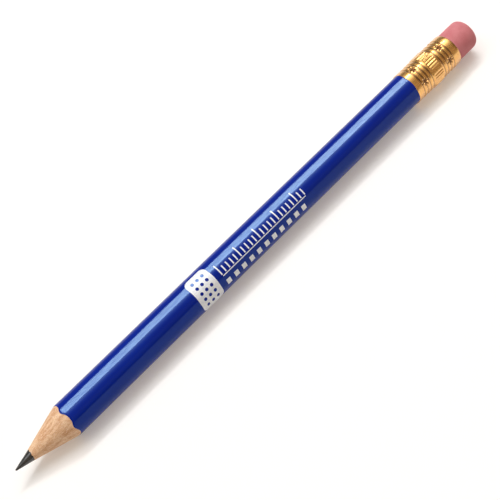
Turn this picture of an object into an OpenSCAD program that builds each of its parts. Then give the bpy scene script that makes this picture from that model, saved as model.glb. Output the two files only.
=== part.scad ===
// A wooden pencil with a sharpened point, a brass ferrule and a rubber eraser.
// It lies on its side: +X runs from the writing tip to the eraser, +Z is up, and
// the origin is the middle of the surface that it lies on. Each piece is drawn
// standing on its tip, with z measured from the tip, and is then laid down.

/* [Barrel] */
// Length from the writing tip to the end of the eraser
overall_length = 127; // [80:1:190]
// Width of the painted barrel over two opposite flats
across_flats = 7; // [6:0.1:9]
// Radius of the barrel's rounded corners
corner_radius = 2.5; // [0.8:0.1:2.7]
// Thickness of the lacquer over the wood
lacquer_thickness = 0.1; // [0.05:0.01:0.25]

/* [Point] */
// Diameter of the graphite lead
lead_d = 2; // [1.6:0.1:3.2]
// Length of bare lead in front of the wood
lead_exposed = 3.5; // [2:0.1:8]
// Radius of the worn tip
tip_radius = 0.18; // [0.1:0.01:0.5]
// Angle of the sharpened wood from the axis
wood_angle = 15.5; // [9:0.5:20]

/* [Ferrule] */
// How far the ferrule's plain bands stand proud of the flats
ferrule_proud = 0.15; // [0.1:0.01:0.4]
// Thickness of the ferrule's metal
ferrule_wall = 0.25; // [0.15:0.01:0.3]
// Distance from the ferrule's end on the barrel to its first groove
barrel_band = 1.7; // [1:0.1:3]
// Distance from the last groove to the ferrule's end at the eraser
eraser_band = 2; // [1.2:0.1:3]
// Number of grooves on each side of the fluted band
grooves = 4; // [2:1:6]
// Distance from one groove to the next
groove_pitch = 0.98; // [0.8:0.02:1.4]
// Width of a groove
groove_width = 0.5; // [0.3:0.05:0.6]
// Depth of a groove
groove_depth = 0.17; // [0.08:0.01:0.2]
// Distance from the last groove to the fluted band
shoulder = 0.55; // [0.45:0.05:1.2]
// Length of the fluted band in the middle
flute_band = 2.6; // [1.5:0.1:5]
// How far the fluted band stands proud of the plain bands
band_proud = 0.08; // [0.04:0.01:0.15]
// Length of the rim that is rolled in on the eraser
rim_length = 0.6; // [0.55:0.05:0.7]
// How far the rim is rolled in
rim_roll = 0.05; // [0.03:0.01:0.08]
// Groups of flutes around the band
flute_groups = 4; // [2:1:4]
// Flutes in each group
group_flutes = 8; // [4:1:8]
// Angle from one flute to the next in a group
flute_step = 9.25; // [8.5:0.25:10]
// Depth of a flute
flute_depth = 0.1; // [0.05:0.01:0.12]
// Dimples around each of the two dimpled grooves
dimples = 6; // [3:1:8]
// Depth of a dimple below its groove
dimple_depth = 0.18; // [0.1:0.01:0.25]

/* [Eraser] */
// Length of eraser that stands out of the ferrule
eraser_exposed = 6.1; // [2:0.1:12]
// Length of eraser inside the ferrule
eraser_seat = 6.2; // [3:0.1:7]
// Radius of the rounding at the eraser's end
eraser_rounding = 1.1; // [0.3:0.1:2]

/* [Fits] */
// Gap between the ferrule and what is clamped in it
ferrule_fit = 0.03; // [0.01:0.01:0.06]
// Gap between the lead and its groove
lead_fit = 0.02; // [0.01:0.01:0.05]
// Gap between the eraser and the end of the barrel
seat_gap = 0.2; // [0.05:0.05:0.5]

/* [Hidden] */
$fn = 96;

// Radii of the round pieces
lead_r = lead_d / 2;
groove_r = lead_r + lead_fit;
ferrule_r = across_flats / 2 + ferrule_proud;
band_r = ferrule_r + band_proud;
bore_r = ferrule_r - ferrule_wall;
held_r = bore_r - ferrule_fit;
clear_r = 0.6 * across_flats;

// Places along the pencil, from its tip
ferrule_length = barrel_band + eraser_band
    + 2 * ((grooves - 1) * groove_pitch + shoulder) + flute_band;
ferrule_end = overall_length - eraser_exposed;
ferrule_start = ferrule_end - ferrule_length;
eraser_start = ferrule_end - eraser_seat;
barrel_end = eraser_start - seat_gap;
cone_end = lead_exposed + (clear_r - groove_r) / tan(wood_angle);

// Steps in each rounded corner of the barrel and in each rounded end
corner_steps = 6;
end_steps = 12;

// Flutes: turn of the pattern, radius of the scoop, plain edge at each end
flute_turn = 50;
flute_r = 0.32;
flute_edge = 0.2;

// Dimples: turn of each ring, half the opening angle, radius of the deepest point
dimple_turns = [54, 3];
dimple_angle = 52;
dimple_r = ferrule_r - groove_depth - dimple_depth;

// Places along the ferrule from its start: the grooves on each side of the fluted
// band, the two dimpled grooves, and the band itself
first_grooves = [for (i = [0 : grooves - 1]) barrel_band + i * groove_pitch];
last_grooves = [for (i = [grooves - 1 : -1 : 0])
    ferrule_length - eraser_band - i * groove_pitch];
dimpled_grooves = [first_grooves[1], last_grooves[grooves - 2]];
band_start = first_grooves[grooves - 1] + shoulder;
band_rise = shoulder / 4;

function arc(centre, r, from, to, steps) =
    [for (i = [0 : steps]) let (a = from + (to - from) * i / steps)
        centre + r * [cos(a), sin(a)]];

function groove_line(place) =
    [for (k = [-2 : 2]) [place + k * groove_width / 4, -groove_depth * pow(cos(k * 45), 2)]];

// The ferrule's wall as [place along the ferrule, distance out from the plain bands]
wall_line = concat(
    [[0, 0]],
    [for (place = first_grooves) each groove_line(place)],
    [[band_start - band_rise, 0], [band_start, band_proud],
     [band_start + flute_band, band_proud], [band_start + flute_band + band_rise, 0]],
    [for (place = last_grooves) each groove_line(place)],
    [[ferrule_length - rim_length, 0], [ferrule_length, -rim_roll]]);

// Outline along the ferrule's wall between two places along the pencil,
// where r is the radius at the plain bands
function along_wall(r, z0, z1) = concat(
    [[r + lookup(z0 - ferrule_start, wall_line), z0]],
    [for (p = wall_line) let (z = ferrule_start + p[0]) if (z > z0 && z < z1) [r + p[1], z]],
    [[r + lookup(z1 - ferrule_start, wall_line), z1]]);

// Section of a six-sided bar with rounded corners and one flat facing +x
module bar_section(inset) {
    r = corner_radius - inset;
    corner = (across_flats / 2 - inset - r) / cos(30);
    polygon([for (a = [30 : 60 : 330])
        each arc(corner * [cos(a), sin(a)], r, a - 30, a + 30, corner_steps)]);
}

module bar(inset, z0, z1) {
    translate([0, 0, z0]) linear_extrude(z1 - z0) bar_section(inset);
}

// Cone-shaped punch marks in both dimpled grooves, with their points at radius r
module punch_marks(r) {
    height = clear_r - r;
    for (i = [0, 1], j = [0 : dimples - 1])
        rotate([0, 0, dimple_turns[i] + j * 360 / dimples])
            translate([r, 0, ferrule_start + dimpled_grooves[i]]) rotate([0, 90, 0])
                cylinder(h = height, r1 = 0, r2 = height * tan(dimple_angle));
}

// The same marks where the dented ferrule bites into what it holds
module bites() {
    punch_marks(dimple_r - ferrule_wall - ferrule_fit);
}

module flutes() {
    for (g = [0 : flute_groups - 1], i = [0 : group_flutes - 1])
        rotate([0, 0, flute_turn + (g + 0.5) * 360 / flute_groups
            + (i - (group_flutes - 1) / 2) * flute_step])
            translate([band_r - flute_depth + flute_r, 0,
                ferrule_start + band_start + flute_edge])
                cylinder(h = flute_band - 2 * flute_edge, r = flute_r);
}

// Lays a standing piece down with one flat underneath
module laid() {
    translate([-overall_length / 2, 0, band_r]) rotate([0, 90, 0]) children();
}

module lead() {
    reach = norm([lead_r, lead_exposed - tip_radius]);
    touch = atan2(lead_exposed - tip_radius, lead_r) - acos(tip_radius / reach);
    color([0.22, 0.21, 0.2]) laid() rotate_extrude() polygon(concat(
        arc([0, tip_radius], tip_radius, -90, touch, end_steps),
        [[lead_r, lead_exposed], [lead_r, barrel_end], [0, barrel_end]]));
}

// Both glued halves of the wooden casing: a grooved bar, sharpened to a cone at
// one end and turned down at the other to fit the ferrule
module casing() {
    difference() {
        intersection() {
            bar(lacquer_thickness, 0, overall_length);
            rotate_extrude() polygon(concat(
                [[groove_r, lead_exposed], [clear_r, cone_end], [clear_r, ferrule_start]],
                along_wall(held_r, ferrule_start, barrel_end),
                [[groove_r, barrel_end]]));
        }
        bites();
    }
}

module upper_casing() {
    color([0.89, 0.7, 0.54]) laid() intersection() {
        casing();
        translate([-2 * clear_r, -clear_r, 0])
            cube([2 * clear_r, 2 * clear_r, overall_length]);
    }
}

module lower_casing() {
    color([0.85, 0.65, 0.49]) laid() intersection() {
        casing();
        translate([0, -clear_r, 0]) cube([2 * clear_r, 2 * clear_r, overall_length]);
    }
}

module lacquer_coat() {
    color([0, 0.16, 0.55]) laid() intersection() {
        difference() {
            bar(0, lead_exposed, ferrule_start);
            bar(lacquer_thickness, 0, overall_length);
        }
        rotate_extrude() polygon([
            [groove_r, lead_exposed], [clear_r, cone_end],
            [clear_r, overall_length], [groove_r, overall_length]]);
    }
}

module ferrule() {
    outside = along_wall(ferrule_r, ferrule_start, ferrule_end);
    inside = along_wall(bore_r, ferrule_start, ferrule_end);
    middle = along_wall(ferrule_r - ferrule_wall / 2, ferrule_start, ferrule_end);
    color([0.79, 0.6, 0.28]) laid() difference() {
        union() {
            rotate_extrude() polygon(concat(
                outside, [for (i = [len(inside) - 1 : -1 : 0]) inside[i]]));
            intersection() {
                punch_marks(dimple_r - ferrule_wall);
                rotate_extrude() polygon(concat(
                    [[0, ferrule_start]], middle, [[0, ferrule_end]]));
            }
        }
        punch_marks(dimple_r);
        flutes();
    }
}

module eraser() {
    color([0.85, 0.52, 0.54]) laid() difference() {
        rotate_extrude() polygon(concat(
            [[0, eraser_start]],
            along_wall(held_r, eraser_start, ferrule_end),
            [[held_r, ferrule_end + rim_roll]],
            arc([held_r - eraser_rounding, overall_length - eraser_rounding],
                eraser_rounding, 0, 90, end_steps),
            [[0, overall_length]]));
        bites();
    }
}

lead();
upper_casing();
lower_casing();
lacquer_coat();
ferrule();
eraser();
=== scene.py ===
"""A part-used wooden pencil: graphite, cedar, blue lacquer, brass ferrule and rubber eraser."""
import math

import bmesh
import bpy
import numpy as np
from bpy.props import FloatProperty, FloatVectorProperty, IntProperty, PointerProperty
from mathutils import Matrix, Vector, noise


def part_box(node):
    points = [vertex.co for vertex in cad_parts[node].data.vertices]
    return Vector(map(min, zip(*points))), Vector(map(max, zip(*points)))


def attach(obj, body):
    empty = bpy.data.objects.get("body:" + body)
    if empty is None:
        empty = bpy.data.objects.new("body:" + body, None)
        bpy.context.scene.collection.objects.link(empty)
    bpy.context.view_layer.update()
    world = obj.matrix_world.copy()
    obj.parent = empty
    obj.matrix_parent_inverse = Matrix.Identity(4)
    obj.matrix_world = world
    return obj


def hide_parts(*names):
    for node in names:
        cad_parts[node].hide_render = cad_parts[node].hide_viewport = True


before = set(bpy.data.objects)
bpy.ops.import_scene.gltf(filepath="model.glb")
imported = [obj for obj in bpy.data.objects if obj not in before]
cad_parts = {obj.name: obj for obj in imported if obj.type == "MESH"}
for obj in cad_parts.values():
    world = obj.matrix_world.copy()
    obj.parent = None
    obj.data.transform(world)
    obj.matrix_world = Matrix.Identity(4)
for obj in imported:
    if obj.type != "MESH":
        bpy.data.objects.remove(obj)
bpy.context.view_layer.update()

bl_info = {
    "name": "Pencil stub",
    "version": (1, 0, 0),
    "blender": (4, 5, 0),
    "location": "3D View > Sidebar > Pencil",
    "description": "Builds a part-used wooden pencil piece by piece",
    "category": "Add Mesh",
}

MM = 0.001

# Radii and places read from the frame. The pencil lies along X with its tip at -X.
LEAD_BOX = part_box("lead")
TIP_X = LEAD_BOX[0].x
BARREL_END_X = LEAD_BOX[1].x
AXIS_Z = (LEAD_BOX[0].z + LEAD_BOX[1].z) / 2
LEAD_R = (LEAD_BOX[1].z - LEAD_BOX[0].z) / 2
WOOD_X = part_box("upper_casing")[0].x
FLAT_R = AXIS_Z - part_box("lacquer_coat")[0].z
FERRULE_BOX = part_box("ferrule")
FERRULE_X, FERRULE_END_X = FERRULE_BOX[0].x, FERRULE_BOX[1].x
BAND_R = AXIS_Z - FERRULE_BOX[0].z
ERASER_X, ERASER_END_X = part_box("eraser")[0].x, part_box("eraser")[1].x

MATH = "ShaderNodeMath"
VECTOR = "ShaderNodeVectorMath"
RANGE = "ShaderNodeMapRange"
NOISE = "ShaderNodeTexNoise"
MIX = "ShaderNodeMix"
XYZ = "ShaderNodeCombineXYZ"
SPAN = {1: 0.3, 2: 0.7}     # the values that most of a noise lies between, for a Map Range
COLUMNS = {"lead": 120, "casing half": 121, "lacquer": 240, "eraser": 160}   # of each mesh
# Where the ferrule's bite starts, is full, is last full, and ends
BITE_X = (FERRULE_X + 1 * MM, FERRULE_X + 1.2 * MM, FERRULE_END_X - 1.2 * MM,
          FERRULE_END_X - 1 * MM)


# -------- sizes and colours

def linear(code):
    """Linear colour of an sRGB hex code."""
    parts = [int(code[i:i + 2], 16) / 255 for i in (1, 3, 5)]
    return tuple(c / 12.92 if c <= 0.04045 else ((c + 0.055) / 1.055) ** 2.4 for c in parts)


def length(title, text, default):
    return FloatProperty(name=title, description=text, default=default, unit="LENGTH", precision=5)


def angle(title, text, degrees):
    return FloatProperty(name=title, description=text, default=math.radians(degrees),
                         subtype="ANGLE")


def colour(title, text, code):
    return FloatVectorProperty(name=title, description=text, default=linear(code),
                               subtype="COLOR", size=3, min=0, max=1)


class PencilSizes(bpy.types.PropertyGroup):
    """Sizes of the pencil's pieces."""
    corner: length("Corner radius", "Rounding of the barrel's six corners", 2.5 * MM)
    lacquer: length("Lacquer", "Thickness of the lacquer", 0.1 * MM)
    groove_gap: length("Lead gap", "Gap between the lead and its groove", 0.02 * MM)
    tip: length("Tip radius", "Radius of the worn tip", 0.18 * MM)
    wood_angle: angle("Wood angle", "Angle of the sharpened wood from the axis", 15.5)
    tenon: length("Tenon radius", "Radius of the barrel inside the ferrule", 3.37 * MM)
    ferrule: length("Ferrule radius", "Radius of the ferrule's plain bands", 3.65 * MM)
    wall: length("Wall", "Thickness of the ferrule's metal", 0.25 * MM)
    barrel_band: length("Barrel band", "From the ferrule's start to its first groove", 1.7 * MM)
    eraser_band: length("Eraser band", "From the last groove to the ferrule's end", 2.0 * MM)
    groove_pitch: length("Groove pitch", "Distance between grooves", 0.98 * MM)
    groove_width: length("Groove width", "Width of a groove", 0.5 * MM)
    groove_depth: length("Groove depth", "Depth of a groove", 0.17 * MM)
    shoulder: length("Shoulder", "From the last groove to the fluted band", 0.55 * MM)
    flute_band: length("Fluted band", "Length of the fluted band", 2.6 * MM)
    flute_depth: length("Flute depth", "Depth of a flute", 0.1 * MM)
    dimple: length("Dimple size", "Reach of a dimple's points from its middle", 1.15 * MM)
    dimple_depth: length("Dimple depth", "Depth of a dimple", 0.36 * MM)
    crimp: length("Crimp", "How much slimmer wood and rubber are where the ferrule bites",
                  0.5 * MM)
    rubber: length("Eraser radius", "Radius of the eraser", 3.37 * MM)
    rounding: length("Rounding", "Rounding of the eraser's end", 1.1 * MM)
    print_start: length("Print start", "Where the print's panel starts along the barrel",
                        -19.1 * MM)
    print_pitch: length("Tick pitch", "Distance between the print's ticks", 1.05 * MM)
    rim: length("Rim", "How far the ferrule's rim is rolled in on the eraser", 0.05 * MM)
    grooves: IntProperty(name="Grooves", description="Grooves on each side of the band",
                         default=4, min=2, max=6)
    flute_groups: IntProperty(name="Flute groups", description="Groups of flutes", default=4,
                              min=1, max=6)
    flutes: IntProperty(name="Flutes", description="Flutes in a group", default=8, min=2, max=8)
    dimples: IntProperty(name="Dimples", description="Dimples in a ring", default=6, min=1,
                         max=8)


class PencilColours(bpy.types.PropertyGroup):
    """Colours of the pencil's finishes."""
    lacquer: colour("Lacquer", "Royal blue lacquer", "#001C8C")
    wood: colour("Cedar", "Bare cedar", "#FBD6AE")
    grain: colour("Cedar grain", "Darker lines in the cedar", "#D19466")
    graphite: colour("Graphite", "Fired graphite and clay", "#1E1C1B")
    brass: colour("Brass", "Polished brass sheet", "#F1B24A")
    rubber: colour("Rubber", "Pink eraser rubber", "#DB8A8E")
    ink: colour("Foil", "White print foil", "#FBFCFF")
    floor: colour("Floor", "White card floor", "#E7E7E7")


# -------- node and mesh helpers

def fill(tree, node, links):
    """Fills a node's inputs from values, sockets or other nodes."""
    for key, value in links.items():
        if isinstance(value, bpy.types.Node):
            value = value.outputs[0]
        if isinstance(value, bpy.types.NodeSocket):
            tree.links.new(value, node.inputs[key])
        else:
            node.inputs[key].default_value = value


def add(tree, kind, links=None, **settings):
    """Adds a node, sets it up and fills its inputs."""
    node = tree.nodes.new(kind)
    for key, value in settings.items():
        setattr(node, key, value)
    fill(tree, node, links or {})
    return node


def new_material(name):
    """A material, its node tree and its Principled shader."""
    material = bpy.data.materials.new(name)
    material.use_nodes = True
    tree = material.node_tree
    shader = next(n for n in tree.nodes if n.type == "BSDF_PRINCIPLED")
    return material, tree, shader


def sized(tree, *sizes):
    """Object coordinates, stretched so that a pattern's features have these sizes in mm."""
    place = add(tree, "ShaderNodeTexCoord").outputs["Object"]
    return add(tree, VECTOR, {0: place, 1: tuple(1 / (size * MM) for size in sizes)},
               operation="MULTIPLY")


def ray_kinds(tree):
    """Whether a ray comes from the camera, and whether it is reflected or refracted."""
    ray = add(tree, "ShaderNodeLightPath").outputs
    shiny = add(tree, MATH, {0: ray["Is Glossy Ray"], 1: ray["Is Transmission Ray"]},
                operation="MAXIMUM")
    return ray["Is Camera Ray"], shiny


def open_layout(name, *numbers):
    """A Geometry Nodes tree, the identifiers of its number inputs, and all its inputs."""
    tree = bpy.data.node_groups.new(name, "GeometryNodeTree")
    for way in ("OUTPUT", "INPUT"):
        tree.interface.new_socket("Geometry", in_out=way, socket_type="NodeSocketGeometry")
    sockets = {}
    for title in numbers:
        item = tree.interface.new_socket(title, in_out="INPUT", socket_type="NodeSocketFloat")
        sockets[title] = item.identifier
    return tree, sockets, add(tree, "NodeGroupInput").outputs


def close_layout(tree, geometry, material):
    """Ends a tree: its instances become real and its result gets a material."""
    real = add(tree, "GeometryNodeRealizeInstances", {"Geometry": geometry})
    finished = add(tree, "GeometryNodeSetMaterial", {"Geometry": real, "Material": material})
    add(tree, "NodeGroupOutput", {"Geometry": finished})


def bar_radius(turn, flat, corner):
    """Distance from the axis to a rounded hexagon's outline. A flat faces turn 0."""
    off = np.abs((turn + math.pi / 6) % (math.pi / 3) - math.pi / 6)
    centre = (flat - corner) / math.cos(math.pi / 6)
    side = math.pi / 6 - off
    arc = centre * np.cos(side) + np.sqrt(corner ** 2 - (centre * np.sin(side)) ** 2)
    return np.where(np.tan(off) * flat < (flat - corner) * math.tan(math.pi / 6),
                    flat / np.cos(off), arc)


def ripple(turn, x, wave, seed):
    """Smooth noise from -1 to 1 over a turned surface, with features about wave long."""
    turn, x = np.broadcast_arrays(turn, x)
    around = FLAT_R / wave
    return np.array([noise.noise(Vector((around * math.cos(t) + seed, around * math.sin(t),
                                         p / wave)))
                     for t, p in zip(turn.ravel(), x.ravel())]).reshape(turn.shape)


def round_points(x, radius, turn):
    """Points at a turn about the axis, from straight up towards the near side, -Y."""
    x, radius, turn = np.broadcast_arrays(x, radius, turn)
    return np.stack([x, -radius * np.sin(turn), AXIS_Z + radius * np.cos(turn)], axis=-1)


def grid_faces(rows, columns, wrap_rows):
    """Quads over a grid of points whose columns join up, and whose rows may."""
    i = np.arange(rows if wrap_rows else rows - 1)[:, None]
    j = np.arange(columns)[None, :]
    ni, nj = (i + 1) % rows, (j + 1) % columns
    quads = np.stack([i * columns + j, i * columns + nj, ni * columns + nj, ni * columns + j],
                     axis=-1)
    return quads.reshape(-1, 4).tolist()


def make_piece(name, points, faces, material, sharp=40):
    """A closed, smooth-shaded mesh object with outward faces."""
    mesh = bpy.data.meshes.new(name)
    mesh.from_pydata(np.asarray(points).reshape(-1, 3).tolist(), [], faces)
    solid = bmesh.new()
    solid.from_mesh(mesh)
    bmesh.ops.remove_doubles(solid, verts=solid.verts, dist=1e-8)
    bmesh.ops.recalc_face_normals(solid, faces=solid.faces)
    solid.to_mesh(mesh)
    solid.free()
    mesh.shade_smooth()
    mesh.set_sharp_from_angle(angle=math.radians(sharp))
    mesh.materials.append(material)
    piece = bpy.data.objects.new(name, mesh)
    bpy.context.scene.collection.objects.link(piece)
    return piece


def make_round(name, x, radius, turn, material):
    """A solid turned piece from rows of rings, closed by a point at each end."""
    points = round_points(x, radius, turn)
    rows, columns = points.shape[:2]
    ends = [points[0].mean(axis=0), points[-1].mean(axis=0)]
    faces = grid_faces(rows, columns, False)
    last = (rows - 1) * columns
    for j in range(columns):
        nj = (j + 1) % columns
        faces.append([rows * columns, nj, j])
        faces.append([rows * columns + 1, last + j, last + nj])
    return make_piece(name, np.vstack([points.reshape(-1, 3), ends]), faces, material)


def claim(piece, slot, *nodes):
    """Puts a piece on the pencil's one body, in place of its construction nodes."""
    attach(piece, "root")
    if nodes:
        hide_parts(*nodes)


def full_turn(columns):
    """One row of evenly spaced turns about the axis."""
    return np.arange(columns)[None, :] * 2 * math.pi / columns


# -------- materials

def graphite_material(colours):
    # Fired graphite and clay, cut by a blade: near black, with a satin streak of light down
    # its upper side that fine rings from the blade break up
    material, tree, shader = new_material("Graphite, sharpened")
    rings = add(tree, NOISE, {"Scale": 1.0, "Detail": 3.0, "Vector": sized(tree, 0.09, 1.5, 1.5)})
    blotches = add(tree, NOISE, {"Scale": 1.0, "Vector": sized(tree, 0.6, 0.6, 0.6)})
    shade = add(tree, MIX, {
        "Factor": add(tree, RANGE, {0: blotches, **SPAN}),
        "A": (*colours.graphite, 1), "B": (*linear("#302E2C"), 1)}, data_type="RGBA")
    bump = add(tree, "ShaderNodeBump", {"Height": rings, "Strength": 0.5, "Distance": 0.01 * MM})
    fill(tree, shader, {
        "Base Color": shade.outputs["Result"], "Normal": bump, "IOR": 1.7,
        "Roughness": add(tree, RANGE, {0: rings, **SPAN, 3: 0.13, 4: 0.22})})
    return material


def cedar_material(colours):
    # Incense cedar, blade-cut: pinkish tan and matt, with fine darker grain along the
    # pencil, a few broad streaks, pale flecks of torn fibre, and faint rings from the blade
    material, tree, shader = new_material("Incense cedar, sharpened")
    fine = add(tree, NOISE, {"Scale": 1.0, "Detail": 4.0, "Roughness": 0.6,
                             "Vector": sized(tree, 1.8, 0.14, 0.14)})
    broad = add(tree, NOISE, {"Scale": 1.0, "Detail": 1.0, "Vector": sized(tree, 9, 0.8, 0.8)})
    flecks = add(tree, NOISE, {"Scale": 1.0, "Detail": 1.0,
                               "Vector": sized(tree, 0.45, 0.16, 0.16)})
    cuts = add(tree, NOISE, {"Scale": 1.0, "Vector": sized(tree, 0.14, 2, 2)})
    mixed = add(tree, MATH, {
        0: add(tree, RANGE, {0: fine, 1: 0.38, 2: 0.64, 4: 0.6}),
        1: add(tree, RANGE, {0: broad, 1: 0.38, 2: 0.66, 4: 0.5})}, operation="ADD")
    shade = add(tree, MIX, {"Factor": mixed, "A": (*colours.wood, 1),
                            "B": (*colours.grain, 1)}, data_type="RGBA")
    pale = add(tree, MIX, {
        "Factor": add(tree, RANGE, {0: flecks, 1: 0.6, 2: 0.72, 4: 0.6}),
        "A": shade.outputs["Result"], "B": (*linear("#FFE9D2"), 1)}, data_type="RGBA")
    height = add(tree, MATH, {0: fine, 1: cuts}, operation="ADD")
    bump = add(tree, "ShaderNodeBump", {"Height": height, "Strength": 0.6, "Distance": 0.02 * MM})
    fill(tree, shader, {"Base Color": pale.outputs["Result"], "Normal": bump, "Roughness": 0.65})
    return material


def lacquer_material(colours):
    # Nitrocellulose lacquer, drawn on in thin coats: a deep, even blue with a sharp gloss
    # that wavers a little over the faint orange peel
    material, tree, shader = new_material("Nitrocellulose lacquer, glossy")
    tone = add(tree, NOISE, {"Scale": 1.0, "Vector": sized(tree, 12, 1.5, 1.5)})
    scuffs = add(tree, NOISE, {"Scale": 1.0, "Detail": 3.0, "Vector": sized(tree, 2.5, 0.3, 0.3)})
    peel = add(tree, NOISE, {"Scale": 1.0, "Detail": 1.0, "Vector": sized(tree, 1.6, 0.7, 0.7)})
    shade = add(tree, MIX, {
        "Factor": add(tree, RANGE, {0: tone, **SPAN, 4: 0.3}),
        "A": (*colours.lacquer, 1), "B": (*linear("#0029A0"), 1)}, data_type="RGBA")
    bump = add(tree, "ShaderNodeBump", {"Height": peel, "Strength": 0.35, "Distance": 0.012 * MM})
    fill(tree, shader, {
        "Base Color": shade.outputs["Result"], "Normal": bump, "IOR": 1.45,
        "Specular Tint": (*linear("#ADD8F9"), 1),
        "Roughness": add(tree, RANGE, {0: scuffs, **SPAN, 3: 0.08, 4: 0.14})})
    return material


def foil_material(colours):
    # Hot-stamped pigment foil: thin, satin and white, a little thin where the stamp
    # pressed less
    material, tree, shader = new_material("Stamping foil, white")
    uneven = add(tree, NOISE, {"Scale": 1.0, "Detail": 3.0, "Vector": sized(tree, 0.5, 0.25, 0.25)})
    shade = add(tree, MIX, {
        "Factor": add(tree, RANGE, {0: uneven, 1: 0.4, 2: 0.75}),
        "A": (*colours.ink, 1), "B": (*linear("#E4E9F4"), 1)}, data_type="RGBA")
    fill(tree, shader, {
        "Base Color": shade.outputs["Result"],
        "Roughness": add(tree, RANGE, {0: uneven, **SPAN, 3: 0.3, 4: 0.45})})
    return material


def brass_material(colours, sizes):
    # Brass sheet, drawn into a tube, pressed and dipped in clear lacquer: warm gold with
    # soft pale highlights and faint drawing lines along it. Its grooves and dimples are painted
    # brown, partly for lacquer and grime gathered there and partly as painted shade in them
    material, tree, shader = new_material("Brass sheet, clear-lacquered")
    tarnish = add(tree, NOISE, {"Scale": 1.0, "Detail": 3.0, "Vector": sized(tree, 1.6, 1.6, 1.6)})
    drawn = add(tree, NOISE, {"Scale": 1.0, "Detail": 3.0, "Vector": sized(tree, 0.9, 0.12, 0.12)})
    shade = add(tree, MIX, {
        "Factor": add(tree, RANGE, {0: tarnish, **SPAN, 4: 0.5}),
        "A": (*colours.brass, 1), "B": (*linear("#DA953A"), 1)}, data_type="RGBA")
    place = add(tree, "ShaderNodeTexCoord").outputs["Object"]
    from_axis = add(tree, VECTOR, {0: place, 1: (0, 0, AXIS_Z)}, operation="SUBTRACT")
    across = add(tree, VECTOR, {0: from_axis, 1: (0, 1, 1)}, operation="MULTIPLY")
    radius = add(tree, VECTOR, {0: across}, operation="LENGTH")
    # Painted shade, with some grime: the colour darkens to brown the deeper the surface lies in a
    # groove or dimple
    sunk = add(tree, RANGE, {0: radius.outputs["Value"], 1: sizes.ferrule - 0.02 * MM,
                             2: sizes.ferrule - sizes.groove_depth, 4: 0.75})
    grime_and_shade = add(tree, MIX, {"Factor": sunk, "A": shade.outputs["Result"],
                            "B": (*linear("#7A4A14"), 1)}, data_type="RGBA")
    bump = add(tree, "ShaderNodeBump", {"Height": tarnish, "Strength": 0.5, "Distance": 0.02 * MM})
    fill(tree, shader, {
        "Base Color": grime_and_shade.outputs["Result"], "Normal": bump, "Metallic": 1.0,
        "Roughness": add(tree, RANGE, {0: drawn, **SPAN, 3: 0.22, 4: 0.3}),
        "Coat Weight": 1.0, "Coat Roughness": 0.2, "Coat IOR": 1.9})
    return material


def rubber_material(colours):
    # Vulcanised rubber with pumice, cut from a rod and tumbled: matt, soft pink, with a
    # fine even grit. The grit is really finer, and is drawn coarse enough to show.
    material, tree, shader = new_material("Eraser rubber, pink")
    grit = add(tree, NOISE, {"Scale": 1.0, "Detail": 3.0, "Roughness": 0.7,
                             "Vector": sized(tree, 0.14, 0.14, 0.14)})
    cloud = add(tree, NOISE, {"Scale": 1.0, "Vector": sized(tree, 1.8, 1.8, 1.8)})
    mixed = add(tree, MATH, {0: add(tree, RANGE, {0: grit, **SPAN, 4: 0.5}),
                             1: add(tree, RANGE, {0: cloud, **SPAN, 4: 0.5})}, operation="ADD")
    shade = add(tree, MIX, {"Factor": mixed, "A": (*colours.rubber, 1),
                            "B": (*linear("#CD7277"), 1)}, data_type="RGBA")
    bump = add(tree, "ShaderNodeBump", {"Height": grit, "Strength": 0.5, "Distance": 0.03 * MM})
    fill(tree, shader, {"Base Color": shade.outputs["Result"], "Normal": bump,
                        "Roughness": 0.7, "Specular IOR Level": 0.35})
    return material


def card_material(colours):
    # White card: even and matt. Its glow, for the camera and for reflections alone, brings
    # its pale grey up to white where nothing shades it.
    material, tree, shader = new_material("White card")
    camera, shiny = ray_kinds(tree)
    seen = add(tree, MATH, {0: camera, 1: shiny}, operation="MAXIMUM")
    fill(tree, shader, {
        "Base Color": (*colours.floor, 1), "Roughness": 0.9, "Specular IOR Level": 0.0,
        "Emission Color": (*linear("#FFF6EC"), 1),
        "Emission Strength": add(tree, MATH, {0: seen, 1: FLOOR_LIFT}, operation="MULTIPLY")})
    return material


# -------- the sharpened end

SET_BACK = 0.29          # mm that the wood's edge stands back from the frame's place for it
TILT = 0.19              # mm that it lies further back on the far side
WAVER = 0.1              # mm that it wavers
SCALLOP = 0.12 * MM      # how unevenly the blade's cut runs out through the lacquer
THINNEST = 0.002 * MM    # thinnest wood left at its front edge
CHATTER = 0.012 * MM     # height of the marks that the blade leaves
MOUTH = 1.5 * MM         # how far the lead's groove flares behind the edge of the wood
SAG = 0.006 * MM         # how unevenly the lacquer has dried


def groove_radius(sizes):
    """Radius of the groove that the lead lies in."""
    return LEAD_R + sizes.groove_gap


def wood_edge_x(turn):
    """Where the wood starts: a wavy line, further back on the far side."""
    wander = TILT * np.cos(turn + math.radians(60)) + WAVER * ripple(turn, 0.0, 1.3 * MM, 3.0)
    return WOOD_X + (SET_BACK + wander) * MM


def cone_radius(x, sizes):
    """Radius of the blade's cut through the wood."""
    return groove_radius(sizes) + (x - WOOD_X) * math.tan(sizes.wood_angle)


def cone_x(radius, turn, sizes):
    """Where the blade's cut reaches a radius, a little unevenly."""
    uneven = SCALLOP * ripple(turn, 0.0, 1.1 * MM, 11.0)
    return WOOD_X + (radius - groove_radius(sizes)) / math.tan(sizes.wood_angle) + uneven


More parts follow.
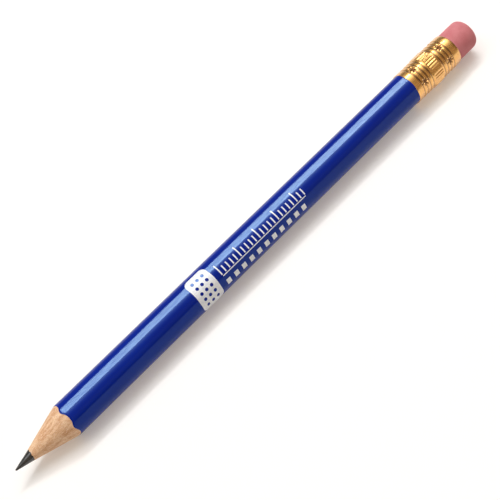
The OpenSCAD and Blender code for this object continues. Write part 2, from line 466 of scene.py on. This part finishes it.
class PENCIL_OT_lead(bpy.types.Operator):
    """Builds the lead, sharpened and a little blunt at the tip"""
    bl_idname = "pencil.lead"
    bl_label = "Lead"

    def execute(self, context):
        sizes = context.scene.pencil_sizes
        turn = full_turn(COLUMNS["lead"])
        edge = wood_edge_x(turn)
        edge_r = cone_radius(edge, sizes) - sizes.groove_gap
        bend = np.radians(np.linspace(4, 74, 10))[:, None]
        tip_x = TIP_X + sizes.tip * (1 - np.cos(bend)) + 0 * turn
        tip_r = sizes.tip * np.sin(bend) + 0 * turn
        along = np.linspace(0, 1, 70)[1:, None]
        cut_x = tip_x[-1:] + (edge - tip_x[-1:]) * along
        cut_r = tip_r[-1:] + (edge_r - tip_r[-1:]) * along
        cut_r = cut_r + CHATTER * ripple(turn, cut_x, 0.45 * MM, 5.0) * np.sin(along * math.pi)
        back = np.array([0.6, 1.6, 60])[:, None] * MM
        back_x = np.minimum(edge + back, BARREL_END_X - 1 * MM)
        back_r = LEAD_R + (edge_r - LEAD_R) * np.array([0.5, 0, 0])[:, None]
        last = np.full_like(turn, BARREL_END_X)
        x = np.vstack([tip_x, cut_x, back_x, last])
        radius = np.vstack([tip_r, cut_r, back_r, np.full_like(turn, LEAD_R)])
        piece = make_round("graphite_lead", x, radius, turn, graphite_material(
            context.scene.pencil_colours))
        claim(piece, "graphite", "lead")
        return {"FINISHED"}


def casing_half(name, side, sizes, material):
    """One glued half of the casing, above (1) or below (-1) the glue plane."""
    middle = 0 if side > 0 else math.pi
    turn = np.linspace(middle - math.pi / 2, middle + math.pi / 2, COLUMNS["casing half"])[None]
    bar = bar_radius(turn, FLAT_R - sizes.lacquer, sizes.corner - sizes.lacquer)
    edge, shoulder = wood_edge_x(turn), cone_x(bar, turn, sizes)
    along = np.linspace(0, 1, 80)[:, None]
    cut_x = edge + (shoulder - edge) * along
    cut_r = cone_radius(edge, sizes) + (bar - cone_radius(edge, sizes)) * along
    cut_r = cut_r + CHATTER * ripple(turn, cut_x, 0.5 * MM, 7.0) * np.sin(along * math.pi)
    bar_x = np.array([shoulder + 1 * MM, np.full_like(turn, 0.0),
                      np.full_like(turn, FERRULE_X)])[:, 0]
    tenon_x = np.array([FERRULE_X, *BITE_X[:2], BARREL_END_X])[:, None] + 0 * turn
    bitten = np.array([[0], [0], [1], [1]]) * sizes.crimp
    x = np.vstack([cut_x, bar_x, tenon_x])
    outer = np.vstack([cut_r, bar + 0 * bar_x, sizes.tenon - bitten + 0 * tenon_x])
    fade = np.clip(1 - (x - edge) / MOUTH, 0, 1)
    bore = groove_radius(sizes) + (cone_radius(edge, sizes) - groove_radius(sizes)) * fade
    inner = np.minimum(bore, outer - THINNEST)
    points = np.concatenate([round_points(x, outer, turn),
                             round_points(x, inner, turn)[:, ::-1]], axis=1)
    rows, columns = points.shape[:2]
    faces = grid_faces(rows, columns, False)
    for first in (0, (rows - 1) * columns):
        for i in range(columns // 2 - 1):
            faces.append([first + i, first + i + 1, first + columns - 2 - i,
                          first + columns - 1 - i])
    return make_piece(name, points, faces, material)


class PENCIL_OT_casing(bpy.types.Operator):
    """Builds the two glued cedar halves, sharpened in front and turned down behind"""
    bl_idname = "pencil.casing"
    bl_label = "Casing"

    def execute(self, context):
        sizes = context.scene.pencil_sizes
        material = cedar_material(context.scene.pencil_colours)
        for side, half in ((1, "upper"), (-1, "lower")):
            piece = casing_half(f"{half}_cedar_half", side, sizes, material)
            claim(piece, "wood", f"{half}_casing")
        return {"FINISHED"}


class PENCIL_OT_lacquer(bpy.types.Operator):
    """Builds the lacquer, with the scalloped edge that sharpening leaves"""
    bl_idname = "pencil.lacquer"
    bl_label = "Lacquer"

    def execute(self, context):
        sizes = context.scene.pencil_sizes
        turn = full_turn(COLUMNS["lacquer"])
        outer = bar_radius(turn, FLAT_R, sizes.corner)
        inner = bar_radius(turn, FLAT_R - sizes.lacquer, sizes.corner - sizes.lacquer)
        front = cone_x(outer, turn, sizes)
        along = np.append([0, 0.0006], np.linspace(0.003, 1, 149))[:, None]
        x = front + (FERRULE_X - front) * along
        fade = np.clip(along * (1 - along) * 40, 0, 1)
        sag = SAG * (ripple(turn, x, 6 * MM, 2.0) - 1) * fade
        inner_x = np.vstack([np.full_like(turn, FERRULE_X), cone_x(inner, turn, sizes)])
        points = np.vstack([round_points(x, outer + sag, turn),
                            round_points(inner_x, inner, turn)])
        faces = grid_faces(*points.shape[:2], True)
        piece = make_piece("blue_lacquer", points, faces,
                           lacquer_material(context.scene.pencil_colours), sharp=12)
        claim(piece, "lacquer", "lacquer_coat")
        return {"FINISHED"}


# -------- the print

PRINT_TURN = math.radians(30)     # the corner that the print is centred on
PANEL = (5.3 * MM, 7.9 * MM)      # the panel's length and its width around the barrel
PANEL_SHIFT = 0.7 * MM            # the panel's middle from the corner, towards the near side
SCALE_GAP = 6.8 * MM              # from the panel's start to the scale's start
SCALE_STEPS = 22                  # ticks after the first
RULE_SHIFT = 1.07 * MM            # the rule from the corner
TICK_WIDTH = 0.28 * MM
FOIL = 0.012 * MM                 # how far the foil stands proud
FOIL_ROOT = 0.01 * MM             # how far its underside reaches into the lacquer


def print_tree(material):
    """Flat layout: a panel with round holes, and a scale of ticks, a rule and blocks."""
    tree, sockets, given = open_layout("Scale print", "Pitch", "Panel length", "Panel width",
                                       "Tick width")
    points = add(tree, "GeometryNodeMeshLine", {
        "Count": SCALE_STEPS + 1, "Start Location": (0, RULE_SHIFT - 0.3 * MM, 0),
        "Offset": add(tree, XYZ, {"X": given["Pitch"]})}, mode="OFFSET")
    tick = add(tree, "GeometryNodeMeshGrid", {
        "Size X": given["Tick width"], "Size Y": 1.0, "Vertices X": 2, "Vertices Y": 14})
    hung = add(tree, "GeometryNodeTransform", {"Geometry": tick, "Translation": (0, -0.5, 0)})
    fifth = add(tree, MATH, {0: add(tree, "GeometryNodeInputIndex"), 1: 5.0},
                operation="MODULO")
    tall = add(tree, MATH, {0: fifth, 1: 0.5}, operation="LESS_THAN")
    height = add(tree, MATH, {0: tall, 1: 1.0 * MM, 2: 1.45 * MM}, operation="MULTIPLY_ADD")
    ticks = add(tree, "GeometryNodeInstanceOnPoints", {
        "Points": points, "Instance": hung,
        "Scale": add(tree, XYZ, {"X": 1.0, "Y": height, "Z": 1.0})})

    span = add(tree, MATH, {0: given["Pitch"], 1: float(SCALE_STEPS)}, operation="MULTIPLY")
    rule = add(tree, "GeometryNodeMeshGrid", {
        "Size X": span, "Size Y": 0.2 * MM, "Vertices X": 45, "Vertices Y": 3})
    rule_place = add(tree, XYZ, {
        "X": add(tree, MATH, {0: span, 1: 0.5}, operation="MULTIPLY"), "Y": RULE_SHIFT})
    rule_set = add(tree, "GeometryNodeTransform", {"Geometry": rule, "Translation": rule_place})

    step = add(tree, MATH, {0: given["Pitch"], 1: 2.0}, operation="MULTIPLY")
    block_points = add(tree, "GeometryNodeMeshLine", {
        "Count": SCALE_STEPS // 2, "Start Location": (0.5 * MM, RULE_SHIFT + 1.6 * MM, 0),
        "Offset": add(tree, XYZ, {"X": step})}, mode="OFFSET")
    block = add(tree, "GeometryNodeMeshGrid", {
        "Size X": given["Pitch"], "Size Y": 1.1 * MM, "Vertices X": 4, "Vertices Y": 12})
    blocks = add(tree, "GeometryNodeInstanceOnPoints", {
        "Points": block_points, "Instance": block})

    outline = add(tree, "GeometryNodeCurvePrimitiveQuadrilateral", {
        "Width": given["Panel length"], "Height": given["Panel width"]}, mode="RECTANGLE")
    rounded = add(tree, "GeometryNodeFilletCurve", {
        "Curve": outline, "Count": 10, "Radius": 1.2 * MM}, mode="POLY")
    hole_points = add(tree, "GeometryNodeMeshGrid", {
        "Size X": 2.6 * MM, "Size Y": 5.2 * MM, "Vertices X": 3, "Vertices Y": 5})
    hole = add(tree, "GeometryNodeCurvePrimitiveCircle", {
        "Resolution": 20, "Radius": 0.36 * MM}, mode="RADIUS")
    holes = add(tree, "GeometryNodeInstanceOnPoints", {"Points": hole_points, "Instance": hole})
    even = add(tree, "GeometryNodeResampleCurve", {"Curve": rounded, "Length": 0.15 * MM},
               mode="LENGTH")
    curves = add(tree, "GeometryNodeJoinGeometry", {"Geometry": even})
    tree.links.new(add(tree, "GeometryNodeRealizeInstances", {"Geometry": holes}).outputs[0],
                   curves.inputs["Geometry"])
    filled = add(tree, "GeometryNodeFillCurve", {"Curve": curves}, mode="TRIANGLES")
    fine = add(tree, "GeometryNodeSubdivideMesh", {"Mesh": filled, "Level": 3})
    panel_place = add(tree, XYZ, {
        "X": add(tree, MATH, {0: given["Panel length"], 1: 0.5, 2: -SCALE_GAP},
                 operation="MULTIPLY_ADD"), "Y": PANEL_SHIFT})
    panel = add(tree, "GeometryNodeTransform", {"Geometry": fine, "Translation": panel_place})

    joined = add(tree, "GeometryNodeJoinGeometry", {"Geometry": ticks})
    for part in (rule_set, blocks, panel):
        tree.links.new(part.outputs[0], joined.inputs["Geometry"])
    close_layout(tree, joined, material)
    return tree, sockets


def grown(name, base, tree, sockets, values):
    """The plain mesh that a node tree makes of a base mesh."""
    carrier = bpy.data.objects.new(name, base)
    bpy.context.scene.collection.objects.link(carrier)
    modifier = carrier.modifiers.new("Nodes", "NODES")
    modifier.node_group = tree
    for title, value in values.items():
        modifier[sockets[title]] = value
    shown = carrier.evaluated_get(bpy.context.evaluated_depsgraph_get())
    mesh = bpy.data.meshes.new_from_object(shown)
    carrier.modifiers.remove(modifier)
    bpy.data.objects.remove(carrier)
    return mesh


def wrapped(mesh, sizes):
    """Lays a flat layout on the barrel as a thin closed foil: its points and faces."""
    turns = np.linspace(-math.pi, math.pi, 3601)
    radii = bar_radius(turns, FLAT_R, sizes.corner)
    steps = np.hypot(np.diff(radii), radii[1:] * np.diff(turns))
    around = np.concatenate([[0], np.cumsum(steps)])
    around -= np.interp(PRINT_TURN, turns, around)
    flat = np.array([v.co for v in mesh.vertices])
    turn = np.interp(flat[:, 1], around, turns)
    radius = bar_radius(turn, FLAT_R, sizes.corner)
    x = flat[:, 0] + sizes.print_start + SCALE_GAP
    points = np.vstack([round_points(x, radius + FOIL, turn),
                        round_points(x, radius - FOIL_ROOT, turn)])
    count = len(flat)
    faces = [list(p.vertices) for p in mesh.polygons]
    seen = dict.fromkeys((a, b) for face in faces for a, b in zip(face, face[1:] + face[:1]))
    rims = [[b, a, a + count, b + count] for a, b in seen if (b, a) not in seen]
    return points, faces + [[i + count for i in reversed(face)] for face in faces] + rims


class PENCIL_OT_print(bpy.types.Operator):
    """Builds the plain white print: a panel of dots and a scale"""
    bl_idname = "pencil.print"
    bl_label = "Print"

    def execute(self, context):
        sizes = context.scene.pencil_sizes
        material = foil_material(context.scene.pencil_colours)
        tree, sockets = print_tree(material)
        flat = grown("print_layout", bpy.data.meshes.new("print_layout"), tree, sockets, {
            "Pitch": sizes.print_pitch, "Panel length": PANEL[0], "Panel width": PANEL[1],
            "Tick width": TICK_WIDTH})
        points, faces = wrapped(flat, sizes)
        claim(make_piece("white_print", points, faces, material, sharp=60), "imprint")
        return {"FINISHED"}


# -------- the ferrule

FLUTE_TURN = math.radians(50)                  # middle of one plain gap between flutes
FLUTE_STEP = math.radians(9.25)                # from one flute to the next in its group
FLUTE_COLUMNS = 11                             # columns of the mesh to each flute
FLUTE_FADE = 0.18 * MM                         # how far a flute takes to reach its depth
DIMPLE_TURNS = (math.radians(-6), math.radians(3))   # one dimple in each ring
DIMPLE_POINTS = 6
RIM_LENGTH = 0.6 * MM                          # how much of the end is rolled in
WORN = (0.1 * MM, 0.05 * MM)                   # length and depth of the wear at both ends


def ferrule_grooves(sizes):
    """Places of the grooves before and after the fluted band."""
    steps = np.arange(sizes.grooves) * sizes.groove_pitch
    first = FERRULE_X + sizes.barrel_band + steps
    last = FERRULE_END_X - sizes.eraser_band - steps[::-1]
    return first, last


def ferrule_rows(sizes):
    """Rows along the ferrule, close together at grooves, dimples and the band's edges."""
    first, last = ferrule_grooves(sizes)
    ends = np.array([0, 0.02, 0.05, 0.1]) * MM
    band = first[-1] + sizes.shoulder
    spots = [FERRULE_X + ends, FERRULE_END_X - ends,
             np.arange(FERRULE_X + 0.25 * MM, FERRULE_END_X - 0.2 * MM, 0.15 * MM)]
    spots += [g + np.linspace(-0.5, 0.5, 11) * sizes.groove_width for g in (*first, *last)]
    spots += [g + np.linspace(-1, 1, 25) * sizes.dimple for g in (first[1], last[-2])]
    spots += [band + sizes.flute_band * end + np.linspace(-0.2, 0.3, 9) * (1 - 2 * end) * MM
              for end in (0, 1)]
    rows = np.unique(np.round(np.concatenate(spots), 8))
    return rows[np.append(True, np.diff(rows) > 0.012 * MM)]


def ferrule_wall(x, sizes):
    """Radius of the ferrule's outside along its length, before flutes and dimples."""
    first, last = ferrule_grooves(sizes)
    wall = np.full_like(x, sizes.ferrule)
    for groove in (*first, *last):
        near = np.clip(np.abs(x - groove) / (sizes.groove_width / 2), 0, 1)
        wall -= sizes.groove_depth * np.cos(near * math.pi / 2) ** 2
    start = first[-1] + sizes.shoulder
    end = start + sizes.flute_band
    rise = sizes.shoulder / 4
    lift = np.clip(np.minimum(x - start + rise, end + rise - x) / rise, 0, 1)
    wall += (BAND_R - sizes.ferrule) * lift ** 2 * (3 - 2 * lift)
    wall -= sizes.rim * np.clip(1 - (FERRULE_END_X - x) / RIM_LENGTH, 0, 1)
    edge = np.minimum(x - FERRULE_X, FERRULE_END_X - x)
    return wall - WORN[1] * np.clip(1 - edge / WORN[0], 0, 1) ** 2


def emboss_tree(sizes, material):
    """Presses flutes and star-shaped dimples into the outside of a turned wall."""
    tree, sockets, given = open_layout(
        "Emboss ferrule", "Groups", "Flutes", "Flute step", "Flute depth", "Band start",
        "Band end", "Dimples", "Dimple size", "Dimple depth")
    place = add(tree, "ShaderNodeSeparateXYZ", {"Vector": add(tree, "GeometryNodeInputPosition")})
    across = add(tree, MATH, {0: place.outputs["Y"], 1: -1.0}, operation="MULTIPLY")
    up = add(tree, MATH, {0: place.outputs["Z"], 1: AXIS_Z}, operation="SUBTRACT")
    turn = add(tree, MATH, {0: across, 1: up}, operation="ARCTAN2")

    # Flutes: a wave across each group, faded out at the band's two edges
    group = add(tree, MATH, {0: math.tau, 1: given["Groups"]}, operation="DIVIDE")
    half = add(tree, MATH, {0: group, 1: 0.5}, operation="MULTIPLY")
    from_gap = add(tree, MATH, {0: turn, 1: FLUTE_TURN}, operation="SUBTRACT")
    shifted = add(tree, MATH, {0: from_gap, 1: half}, operation="SUBTRACT")
    negative = add(tree, MATH, {0: half, 1: -1.0}, operation="MULTIPLY")
    local = add(tree, MATH, {0: shifted, 1: half, 2: negative}, operation="WRAP")
    count = add(tree, MATH, {0: local, 1: given["Flute step"]}, operation="DIVIDE")
    reach = add(tree, MATH, {0: given["Flutes"], 1: 0.5}, operation="MULTIPLY")
    whole = add(tree, MATH, {0: reach, 1: add(tree, MATH, {0: count}, operation="ABSOLUTE")},
                operation="GREATER_THAN")
    phase = add(tree, MATH, {0: count, 1: math.pi}, operation="MULTIPLY")
    wave = add(tree, MATH, {0: phase}, operation="SINE")
    scoop = add(tree, MATH, {0: add(tree, MATH, {0: wave}, operation="ABSOLUTE"), 1: 1.4},
                operation="POWER")
    sunk = add(tree, MATH, {0: scoop, 1: given["Flute depth"]}, operation="MULTIPLY")
    sunk = add(tree, MATH, {0: sunk, 1: whole}, operation="MULTIPLY")
    for edge, inward in ((given["Band start"], FLUTE_FADE), (given["Band end"], -FLUTE_FADE)):
        full = add(tree, MATH, {0: edge, 1: inward}, operation="ADD")
        fade = add(tree, RANGE, {0: place.outputs["X"], 1: edge, 2: full},
                   interpolation_type="SMOOTHSTEP")
        sunk = add(tree, MATH, {0: sunk, 1: fade}, operation="MULTIPLY")

    # Dimples: two rings of stars, each deepest at its middle
    first, last = ferrule_grooves(sizes)
    spacing = add(tree, MATH, {0: math.pi, 1: given["Dimples"]}, operation="DIVIDE")
    minus = add(tree, MATH, {0: spacing, 1: -1.0}, operation="MULTIPLY")
    for ring_x, ring_turn in zip((first[1], last[-2]), DIMPLE_TURNS):
        apart = add(tree, MATH, {0: turn, 1: ring_turn}, operation="SUBTRACT")
        near = add(tree, MATH, {0: apart, 1: spacing, 2: minus}, operation="WRAP")
        side = add(tree, MATH, {0: near, 1: sizes.ferrule}, operation="MULTIPLY")
        along = add(tree, MATH, {0: place.outputs["X"], 1: float(ring_x)}, operation="SUBTRACT")
        flat = add(tree, XYZ, {"X": along, "Y": side})
        reach = add(tree, VECTOR, {0: flat}, operation="LENGTH")
        point = add(tree, MATH, {0: side, 1: along}, operation="ARCTAN2")
        points = add(tree, MATH, {0: point, 1: float(DIMPLE_POINTS)}, operation="MULTIPLY")
        star = add(tree, MATH, {0: points}, operation="COSINE")
        rim = add(tree, MATH, {0: star, 1: 0.3, 2: 0.7}, operation="MULTIPLY_ADD")
        limit = add(tree, MATH, {0: rim, 1: given["Dimple size"]}, operation="MULTIPLY")
        share = add(tree, MATH, {0: reach.outputs["Value"], 1: limit}, operation="DIVIDE")
        bowl = add(tree, RANGE, {0: share, 1: 1.0, 2: 0.0}, interpolation_type="SMOOTHSTEP")
        sunk = add(tree, MATH, {0: bowl, 1: given["Dimple depth"], 2: sunk},
                   operation="MULTIPLY_ADD")

    # Move the outside straight in towards the axis
    outside = add(tree, "GeometryNodeInputNamedAttribute", {"Name": "outside"},
                  data_type="FLOAT")
    depth = add(tree, MATH, {0: sunk, 1: outside.outputs["Attribute"]}, operation="MULTIPLY")
    radial = add(tree, VECTOR, {0: add(tree, XYZ, {"Y": place.outputs["Y"], "Z": up})},
                 operation="NORMALIZE")
    move = add(tree, VECTOR, {
        0: radial, "Scale": add(tree, MATH, {0: depth, 1: -1.0}, operation="MULTIPLY")},
        operation="SCALE")
    pressed = add(tree, "GeometryNodeSetPosition", {
        "Geometry": given["Geometry"], "Offset": move})
    close_layout(tree, pressed, material)
    return tree, sockets


class PENCIL_OT_ferrule(bpy.types.Operator):
    """Builds the ferrule: a turned wall, with flutes and dimples pressed in by nodes"""
    bl_idname = "pencil.ferrule"
    bl_label = "Ferrule"

    def execute(self, context):
        sizes = context.scene.pencil_sizes
        turn = full_turn(round(FLUTE_COLUMNS * 2 * math.pi / FLUTE_STEP))
        x = ferrule_rows(sizes)[:, None]
        outer = ferrule_wall(x, sizes)
        inner_x = np.array([FERRULE_END_X, *reversed(BITE_X), FERRULE_X])[:, None]
        pressed = np.array([[sizes.rim], [0], [sizes.crimp], [sizes.crimp], [0], [0]])
        inner = sizes.ferrule - sizes.wall - pressed
        points = round_points(np.vstack([x, inner_x]), np.vstack([outer, inner]), turn)
        rows, columns = points.shape[:2]
        base = bpy.data.meshes.new("ferrule_wall")
        base.from_pydata(points.reshape(-1, 3).tolist(), [], grid_faces(rows, columns, True))
        outside = base.attributes.new("outside", "FLOAT", "POINT")
        outside.data.foreach_set("value", np.repeat(np.arange(rows) < len(x), columns)
                                 .astype(np.float32))
        material = brass_material(context.scene.pencil_colours, sizes)
        tree, sockets = emboss_tree(sizes, material)
        start = ferrule_grooves(sizes)[0][-1] + sizes.shoulder
        mesh = grown("ferrule_wall", base, tree, sockets, {
            "Groups": float(sizes.flute_groups), "Flutes": float(sizes.flutes),
            "Flute step": FLUTE_STEP, "Flute depth": sizes.flute_depth,
            "Band start": float(start), "Band end": float(start + sizes.flute_band),
            "Dimples": float(sizes.dimples), "Dimple size": sizes.dimple,
            "Dimple depth": sizes.dimple_depth})
        shaped = np.array([v.co for v in mesh.vertices])
        faces = [list(p.vertices) for p in mesh.polygons]
        piece = make_piece("brass_ferrule", shaped, faces, material, sharp=50)
        claim(piece, "brass", "ferrule")
        return {"FINISHED"}


# -------- the eraser

DOME = 0.06 * MM       # how far the eraser's end face bulges
LUMPS = 0.02 * MM      # height of the rubber's gentle unevenness
PITS = 0.008 * MM      # depth of its fine pits


class PENCIL_OT_eraser(bpy.types.Operator):
    """Builds the round rubber eraser, half of it inside the ferrule"""
    bl_idname = "pencil.eraser"
    bl_label = "Eraser"

    def execute(self, context):
        sizes = context.scene.pencil_sizes
        turn = full_turn(COLUMNS["eraser"])
        held = np.array([ERASER_X, *BITE_X[2:], FERRULE_END_X])[:, None]
        squeezed = np.array([[sizes.crimp], [sizes.crimp], [0], [sizes.rim]])
        straight = np.linspace(FERRULE_END_X + sizes.rim, ERASER_END_X - sizes.rounding, 40)
        bend = np.radians(np.linspace(0, 90, 22))[1:, None]
        corner_x = ERASER_END_X - DOME - sizes.rounding + sizes.rounding * np.sin(bend)
        corner_r = sizes.rubber - sizes.rounding * (1 - np.cos(bend))
        face = np.linspace(1, 0.02, 14)[1:, None]
        face_r = corner_r[-1:] * face
        face_x = ERASER_END_X - DOME * face ** 2
        x = np.vstack([held, straight[:, None], corner_x, face_x]) + 0 * turn
        radius = np.vstack([sizes.rubber - squeezed, straight[:, None] * 0 + sizes.rubber,
                            corner_r, face_r])
        shown = np.clip((x - FERRULE_END_X) / (0.3 * MM), 0, 1)
        lumps = LUMPS * (ripple(turn, x, 1.4 * MM, 4.0) - 0.6)
        pits = PITS * (ripple(turn, x, 0.35 * MM, 9.0) - 0.6)
        radius = radius + shown * (lumps + pits) * radius / sizes.rubber
        piece = make_round("pink_eraser", x, radius, turn,
                           rubber_material(context.scene.pencil_colours))
        claim(piece, "eraser_rubber", "eraser")
        return {"FINISHED"}


# -------- the stage

AIM = Vector((-4.04 * MM, -1.22 * MM, AXIS_Z))    # what the camera looks at
CAMERA_LEAN = math.radians(30)      # from straight up towards the near side
CAMERA_SWING = math.radians(18.65)  # towards the writing tip
CAMERA_ROLL = math.radians(-15.35)
CAMERA_DISTANCE = 238.1 * MM
KEY_LEAN = math.radians(-28.8)      # the strip softbox, leaning to the far side
KEY_DISTANCE = 1.5
KEY_SIZE = (0.95, 0.15)
KEY_SHIFT = 0.46                    # towards the eraser
KEY_GLOW = 18.0                     # brightness of the softbox's face, where white is 1
ROOM_GLOW = 0.9                     # brightness of the room where the ramp is 1
ROOM_ENDS = 0.12                    # share of it left past the pencil's two ends
# The room's light from the far side, over the top, to the near side: place, glow and tone
ROOM = ((0.0, 0.42, "#FFFFFF"), (0.1, 0.3, "#FFFFFF"), (0.23, 0.55, "#FFFFFF"),
        (0.31, 3.6, "#FFFFFF"), (0.39, 3.4, "#FFFFFF"), (0.46, 1.5, "#FFFFFF"),
        (0.54, 0.9, "#FFFAF2"), (0.62, 0.55, "#FFF2E0"), (0.74, 0.42, "#FFE8CC"),
        (0.86, 0.6, "#FFE6C8"), (0.94, 0.4, "#FFEBD6"), (1.0, 0.12, "#FFFFFF"))
BACKDROP = 0.08                     # sine of the height up to which reflections show white
FLOOR_CORNERS = ((-2, -2), (2, -2), (2, 2), (-2, 2))
FLOOR_GAP = 0.002 * MM              # how far the floor stays below the pencil
FLOOR_LIFT = 0.26                   # the floor's own glow to the camera and in reflections


def toward(lean, swing):
    """Direction leaning from straight up to the near side, and swung to the writing tip."""
    return Vector((-math.sin(swing), -math.cos(swing) * math.sin(lean),
                   math.cos(swing) * math.cos(lean)))


class PENCIL_OT_stage(bpy.types.Operator):
    """Builds the white floor, the softbox, the room's light and the camera"""
    bl_idname = "pencil.stage"
    bl_label = "Stage"

    def execute(self, context):
        scene = context.scene
        self.build_floor(scene)
        self.build_lights(scene)
        self.build_camera(scene)
        scene.view_settings.view_transform = "Standard"
        return {"FINISHED"}

    def build_floor(self, scene):
        """A sheet that the ferrule's band and the front of the lowest flat both touch."""
        back_x = (FERRULE_X + FERRULE_END_X) / 2
        front_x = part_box("lacquer_coat")[0].x
        slope = (AXIS_Z - FLAT_R) / (back_x - front_x)
        mesh = bpy.data.meshes.new("floor")
        corners = [(x, y, (back_x - x) * slope - FLOOR_GAP) for x, y in FLOOR_CORNERS]
        mesh.from_pydata(corners, [], [(0, 1, 2, 3)])
        mesh.materials.append(card_material(scene.pencil_colours))
        floor = bpy.data.objects.new("floor", mesh)
        scene.collection.objects.link(floor)

    def build_lights(self, scene):
        """The softbox, and the room's own light with what shows white behind the pencil."""
        lamp = bpy.data.lights.new("softbox", "AREA")
        lamp.shape = "RECTANGLE"
        lamp.size, lamp.size_y = KEY_SIZE
        lamp.energy = KEY_GLOW * math.pi * KEY_SIZE[0] * KEY_SIZE[1]
        box = bpy.data.objects.new("softbox", lamp)
        out = toward(KEY_LEAN, 0)
        along = Vector((1, 0, 0))
        turn = Matrix((along, out.cross(along), out)).transposed().to_4x4()
        box.matrix_world = Matrix.Translation(
            Vector((KEY_SHIFT, 0, AXIS_Z)) + out * KEY_DISTANCE) @ turn
        scene.collection.objects.link(box)
        world = bpy.data.worlds.new("room")
        scene.world = world
        world.use_nodes = True
        tree = world.node_tree
        background = next(n for n in tree.nodes if n.type == "BACKGROUND")
        way = add(tree, "ShaderNodeSeparateXYZ", {
            "Vector": add(tree, "ShaderNodeTexCoord").outputs["Generated"]})
        side = add(tree, RANGE, {0: way.outputs["Y"], 1: 1.0, 2: -1.0})
        ramp = add(tree, "ShaderNodeValToRGB", {"Fac": side})
        stops = ramp.color_ramp.elements
        while len(stops) < len(ROOM):
            stops.new(0.5)
        for stop, (place, glow, tone) in zip(stops, ROOM):
            stop.position = place
            stop.color = (*(glow * c for c in linear(tone)), 1)
        end = add(tree, MATH, {0: way.outputs["X"]}, operation="ABSOLUTE")
        strength = add(tree, RANGE, {
            0: end, 1: 0.45, 2: 0.85, 3: ROOM_GLOW, 4: ROOM_GLOW * ROOM_ENDS},
            interpolation_type="SMOOTHSTEP")
        room = add(tree, VECTOR, {0: ramp.outputs["Color"], "Scale": strength},
                   operation="SCALE")
        # White behind everything for the camera, and low down all around in reflections
        camera, shiny = ray_kinds(tree)
        low = add(tree, MATH, {0: way.outputs["Z"], 1: BACKDROP}, operation="LESS_THAN")
        mirrored = add(tree, MATH, {0: shiny, 1: low}, operation="MULTIPLY")
        seen = add(tree, MATH, {0: camera, 1: mirrored}, operation="MAXIMUM")
        shown = add(tree, MIX, {"Factor": seen, "A": room, "B": (1, 1, 1, 1)},
                    data_type="RGBA")
        tree.links.new(shown.outputs["Result"], background.inputs["Color"])

    def build_camera(self, scene):
        """The camera, turned so that the pencil lies across its view."""
        lens = bpy.data.cameras.new("camera")
        lens.lens = 90
        lens.sensor_width = 36
        lens.clip_start = 0.01
        camera = bpy.data.objects.new("camera", lens)
        back = toward(CAMERA_LEAN, CAMERA_SWING)
        right = Vector((0, 0, 1)).cross(back).normalized()
        up = back.cross(right)
        rolled = right * math.cos(CAMERA_ROLL) + up * math.sin(CAMERA_ROLL)
        turn = Matrix((rolled, back.cross(rolled), back)).transposed().to_4x4()
        camera.matrix_world = Matrix.Translation(AIM + back * CAMERA_DISTANCE) @ turn
        scene.collection.objects.link(camera)
        scene.camera = camera


class PENCIL_PT_panel(bpy.types.Panel):
    """Lists the pencil's operators, sizes and colours"""
    bl_idname = "PENCIL_PT_panel"
    bl_label = "Pencil"
    bl_space_type = "VIEW_3D"
    bl_region_type = "UI"
    bl_category = "Pencil"

    def draw(self, context):
        for operator in OPERATORS:
            self.layout.operator(operator.bl_idname)
        for group in (context.scene.pencil_sizes, context.scene.pencil_colours):
            column = self.layout.column()
            for key in group.bl_rna.properties.keys():
                if key not in ("rna_type", "name"):
                    column.prop(group, key)


OPERATORS = (PENCIL_OT_stage, PENCIL_OT_lead, PENCIL_OT_casing, PENCIL_OT_lacquer,
             PENCIL_OT_print, PENCIL_OT_ferrule, PENCIL_OT_eraser)
CLASSES = (PencilSizes, PencilColours, *OPERATORS, PENCIL_PT_panel)


def register():
    for entry in CLASSES:
        bpy.utils.register_class(entry)
    bpy.types.Scene.pencil_sizes = PointerProperty(type=PencilSizes)
    bpy.types.Scene.pencil_colours = PointerProperty(type=PencilColours)


def unregister():
    del bpy.types.Scene.pencil_sizes
    del bpy.types.Scene.pencil_colours
    for entry in reversed(CLASSES):
        bpy.utils.unregister_class(entry)


def main():
    register()
    for operator in OPERATORS:
        group, name = operator.bl_idname.split(".")
        getattr(getattr(bpy.ops, group), name)()


if __name__ == "__main__":
    main()
